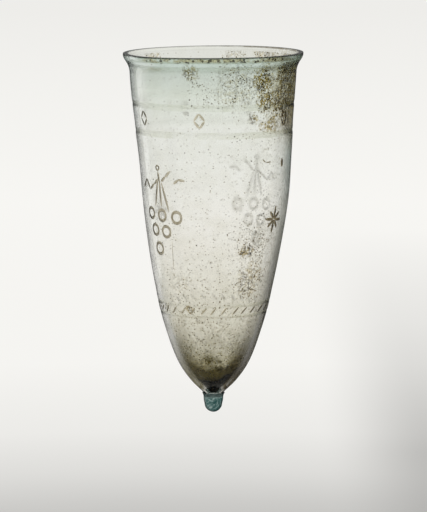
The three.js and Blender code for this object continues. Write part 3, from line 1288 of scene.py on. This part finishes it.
# The painted shade along the lip's ground edge
tint = blend(tree, line, tint, (0.03, 0.035, 0.025))
rough = maths(tree, "MULTIPLY_ADD", stain, 0.10, 0.06)
noise_inputs = {"Vector": object_place(tree), "Scale": 60.0, "Detail": 2.0}
wobble = add_node(tree, "ShaderNodeTexNoise", noise_inputs).outputs[0]
set_surface(tree, {
    "Base Color": tint,
    "Roughness": rough,
    "Normal": bump(tree, wobble, strength=0.25, distance=0.6 * MM),
    "Transmission Weight": 1.0,
    "IOR": 1.5,
})
print("pale glass:", len(tree.nodes), "nodes")

# %% [markdown]
# The inside of the wall is matt from the soil that touched it, so it doesn't mirror the room: a
# black specular tint takes those weak mirror images away, and dark soil behind it stays dark.
# A thin line of soil clings to its upper edge at the back, most of it on the right.

# %% Inside of the glass
_, tree = empty_material("glass_inside")
depth, x, y, z = read_place(tree)
matt = clouds(tree, scale=90.0, low=0.35, high=0.7, detail=5.0)
tint = blend(tree, matt, (0.98, 0.98, 0.975), (0.94, 0.935, 0.905))
sides = wall_tint(tree, depth, front_share(tree, y))
tint = blend(tree, 1.0, tint, sides, "MULTIPLY")
rim = spread(tree, z, lip_z - 0.5 * MM, lip_z - 0.15 * MM)
back = spread(tree, y, 0, 12 * MM)
right = spread(tree, x, -10 * MM, 20 * MM, 0.4, 0.95)
broken = clouds(tree, scale=130.0, low=0.25, high=0.6, detail=6.0)
rim_soil = product(tree, rim, back, right, spread(tree, broken, 0, 1, 0.5, 1))
tint = blend(tree, rim_soil, tint, (0.08, 0.06, 0.03))
set_surface(tree, {
    "Base Color": tint,
    "Roughness": maths(tree, "MULTIPLY_ADD", matt, 0.12, 0.06),
    "Specular Tint": (0, 0, 0, 1),
    "Transmission Weight": 1.0,
    "IOR": 1.5,
})
print("inside of the glass:", len(tree.nodes), "nodes")

# %% [markdown]
# The wheel leaves a fine-ground surface. It scatters light, and soil settles in it, so the cuts
# look grey to brown against the clear wall. Part of the shader is matt and part lets light
# through. Brown clouds make some strokes darker than others, and towards the outline a painted
# shade darkens them too, most of all on the right. The channels are ground too, but polished
# again by wear, so they keep the tint of the wall.

# %% Ground cuts
def ground_glass(name, clean, soiled, low, high, matt, rough_low, rough_high):
    """A ground finish, with a clean colour of its own or else the tint of the wall."""
    _, tree = empty_material(name)
    _, x, y, _ = read_place(tree)
    soil = clouds(tree, scale=60.0, low=low, high=high, detail=5.0)
    # Towards the outline, most of all on the right, the strokes get a painted shade
    right = spread(tree, x, 6 * MM, 23 * MM, 0, 0.95)
    left = spread(tree, x, -14 * MM, -30 * MM, 0, 0.5)
    front = spread(tree, y, 6 * MM, -10 * MM)
    soil_and_shade = product(tree, largest(tree, soil, right, left), front)
    if clean:
        colour = blend(tree, front, (0.93, 0.92, 0.86), clean)
        colour = blend(tree, soil_and_shade, colour, soiled)
    else:
        colour = blend(tree, soil_and_shade, glass_tint(tree), soiled, "MULTIPLY")
    grain = clouds(tree, scale=900.0, low=0.3, high=0.7, detail=2.0)
    grainy = blend(tree, 1.0, colour, soiled, "MULTIPLY")
    set_surface(tree, {
        "Base Color": blend(tree, product(tree, grain, 0.3), colour, grainy),
        "Roughness": spread(tree, grain, 0, 1, rough_low, rough_high),
        "Normal": bump(tree, grain, strength=0.3, distance=0.1 * MM),
        "Transmission Weight": 1 - matt,
        "IOR": 1.5,
    })
    print(f"{name}: {len(tree.nodes)} nodes")


ground_glass("wheel_cut", clean=(0.78, 0.70, 0.50), soiled=(0.17, 0.12, 0.045),
             low=0.42, high=0.72, matt=0.15, rough_low=0.35, rough_high=0.6)
ground_glass("ground_band", clean=None, soiled=(0.80, 0.81, 0.72),
             low=0.40, high=0.68, matt=0.0, rough_low=0.10, rough_high=0.22)

# %% [markdown]
# The soil film is clear where its alpha is zero. Three masks are joined in it: a haze that
# thickens towards the tip, ragged patches with small pits, and specks that grow denser low down
# and on the right. Specks of two sizes look less regular than one size would. Three lists say
# how strong the haze is down the wall, and what share of the cells gets a fine or a coarse speck.

# %% Cover of the soil film
HAZE_SHARES = [
    (0.50, 0.0),
    (0.66, 0.03),
    (0.76, 0.08),
    (0.81, 0.13),
    (0.86, 0.22),
    (0.90, 0.42),
    (0.94, 0.80),
    (0.96, 0.92),
]
FINE_SHARES = [(0.05, 0.05), (0.30, 0.07), (0.60, 0.12), (0.72, 0.24), (0.86, 0.40)]
COARSE_SHARES = [(0.05, 0.005), (0.8, 0.03)]

film_finish, tree = empty_material("soil_film")
depth, x, _, _ = read_place(tree)
cloudy = clouds(tree, scale=110.0, low=0.3, high=0.72, detail=8.0)
mottle = clouds(tree, scale=800.0, low=0.42, high=0.56, detail=8.0)
haze = product(tree, ramp(tree, depth, HAZE_SHARES), spread(tree, cloudy, 0, 1, 0.65, 1.2))
haze = product(tree, haze, spread(tree, mottle, 0, 1, 0.8, 1.2))
haze = product(tree, haze, spread(tree, facing_share(tree), 0.60, 0.97, 1, 0.1))

stains, dots = soil_patches(tree, grow=1.3, ragged=2.2)
stained = product(tree, stains, spread(tree, mottle, 0, 1, 0.06, 0.93))

right = spread(tree, x, 10 * MM, 40 * MM)
share = maths(tree, "MULTIPLY_ADD", dots, 0.6, ramp(tree, depth, FINE_SHARES))
share = maths(tree, "MULTIPLY_ADD", right, 0.2, share)
fine = use_group(tree, specks_group, scale=1250.0, share=share, size=0.40)
strength = spread(tree, depth, 0.5, 0.75, 0.45, 0.7)
strength = maths(tree, "MULTIPLY_ADD", dots, 0.9, strength, clamp=True)
share = maths(tree, "MULTIPLY_ADD", dots, 0.7, ramp(tree, depth, COARSE_SHARES))
coarse = use_group(tree, specks_group, scale=820.0, share=share, size=0.27)
coarse = product(tree, coarse, 0.95)
specks = largest(tree, product(tree, fine, strength), coarse)
cover = largest(tree, haze, stained, specks)

# %% [markdown]
# The colour of the film runs from pale dust over olive to near black in the tip, with yellow to
# dark brown in the patches and on the right. The dark reaches a little higher on the right: there
# the depth is counted as more than it is. Half of the light goes straight through the soil, as
# it does through a thin skin of dust, so the film isn't black against the bright background.

# %% Colour of the soil film
def sunk_depth(tree, depth, x):
    return maths(tree, "ADD", depth, spread(tree, x, 1 * MM, 8 * MM, 0, 0.018))


dusty = blend(tree, cloudy, (0.62, 0.56, 0.40), (0.46, 0.40, 0.22))
olive = blend(tree, cloudy, (0.50, 0.43, 0.18), (0.32, 0.27, 0.10))
dusty = blend(tree, spread(tree, depth, 0.80, 0.89), dusty, olive)
tip = spread(tree, sunk_depth(tree, depth, x), 0.929, 0.944)
dusty = blend(tree, tip, dusty, (0.012, 0.009, 0.004))
dark = clouds(tree, scale=300.0, low=0.42, high=0.60)
dark = largest(tree, dark, spread(tree, x, 30 * MM, 38 * MM, 0, 0.9))
soil = blend(tree, dark, (0.62, 0.43, 0.08), (0.07, 0.045, 0.010))
colour = blend(tree, spread(tree, stains, 0, 0.3), dusty, soil)
speck_brown = blend(tree, coarse, (0.14, 0.09, 0.02), (0.045, 0.034, 0.016))
colour = blend(tree, specks, colour, speck_brown)
set_surface(tree, {
    "Base Color": colour,
    "Roughness": 0.9,
    "Alpha": cover,
    "Normal": bump(tree, mottle, strength=0.5, distance=0.2 * MM),
    "Transmission Weight": 0.5,
    "IOR": 1.0,
})
print("soil film:", len(tree.nodes), "nodes")

# %% [markdown]
# The crust and the crumbs are the same soil, seen thick. Dark, damp-looking brown with olive
# grains and a coarse bump. The crust's upper rim dissolves into the film, which alpha does too,
# and its colour turns from olive to near black where the film's does.

# %% Soil finish
def soil_finish(name, fading):
    material, tree = empty_material(name)
    grainy = clouds(tree, scale=700.0, low=0.35, high=0.65)
    broad = clouds(tree, scale=160.0, low=0.4, high=0.7)
    colour = blend(tree, grainy, (0.03, 0.023, 0.011), (0.08, 0.064, 0.028))
    colour = blend(tree, broad, colour, (0.14, 0.115, 0.05))
    inputs = {
        "Base Color": colour,
        "Roughness": spread(tree, grainy, 0, 1, 0.78, 0.95),
        "Specular IOR Level": 0.1,
        "Normal": bump(tree, grainy, strength=0.7, distance=0.3 * MM),
    }
    if fading:
        depth, x, _, _ = read_place(tree)
        top = crust_top / blown_length
        bottom = cavity_floor / blown_length
        uneven = maths(tree, "SUBTRACT", broad, 0.5)
        edge = maths(tree, "MULTIPLY_ADD", uneven, 0.05, depth)
        inputs["Alpha"] = spread(tree, edge, top + 0.055, top + 0.72 * (bottom - top))
        sunk = sunk_depth(tree, depth, x)
        olive = blend(tree, grainy, (0.44, 0.40, 0.20), (0.24, 0.21, 0.10))
        colour = blend(tree, spread(tree, sunk, top + 0.075, top + 0.10), olive, colour)
        tip = spread(tree, sunk, top + 0.087, top + 0.101)
        inputs["Base Color"] = blend(tree, tip, colour, (0.008, 0.006, 0.003))
    set_surface(tree, inputs)
    print(f"{name}: {len(tree.nodes)} nodes")
    return material


crust_finish = soil_finish("soil_crust", fading=True)
crumb_finish = soil_finish("soil_crumbs", fading=False)

# %% [markdown]
# The knob is a stronger glass: the same shader with a deep blue-green, swirled with paler
# streaks, because the drop was gathered and twisted while soft. Its collar is paler, where the
# clear tip shows through it, and its outline gets a painted shade, in place of the dark room that
# the drop bends in.

# %% Blue-green glass
blue_green, tree = empty_material("blue_green_glass")
_, _, _, z = read_place(tree)
noise_inputs = {"Vector": object_place(tree), "Scale": 260.0, "Detail": 5.0, "Roughness": 0.6,
                "Distortion": 2.2}
swirl = add_node(tree, "ShaderNodeTexNoise", noise_inputs).outputs[0]
collar_share = spread(tree, z, bowl_low[2] - 0.4 * MM, bowl_low[2] + 0.4 * MM, 0, 0.6)
paler = largest(tree, spread(tree, swirl, 0.45, 0.64), collar_share)
colour = blend(tree, paler, (0.03, 0.10, 0.095), (0.46, 0.58, 0.56))
# A painted shade at the outline of the drop
edge = spread(tree, facing_share(tree), 0.3, 0.8)
set_surface(tree, {
    "Base Color": blend(tree, edge, colour, (0.012, 0.04, 0.04)),
    "Roughness": spread(tree, swirl, 0.3, 0.7, 0.05, 0.2),
    "Normal": bump(tree, swirl, strength=0.5, distance=0.5 * MM),
    "Transmission Weight": 0.8,
    "IOR": 1.5,
})
print("blue-green glass:", len(tree.nodes), "nodes")

# %% [markdown]
# Last, every piece gets its material and rides on the body that the frame gave, and the solid
# that it replaces is hidden. The bowl already has its four materials.

# %% Hand over
FINISHES = [
    # piece, its material, what it replaces, its slot in the record
    (bowl, None, "bowl", "pale_glass"),
    (knob, blue_green, "foot_knob", "blue_green_glass"),
    (crust, crust_finish, "soil_crust", "burial_soil"),
    (film, film_finish, None, "burial_soil"),
    (grains, crumb_finish, None, "burial_soil"),
]
for piece, material, node, slot in FINISHES:
    if material:
        piece.data.materials.clear()
        piece.data.materials.append(material)
    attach(piece, "root")
    if node:
        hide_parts(node)
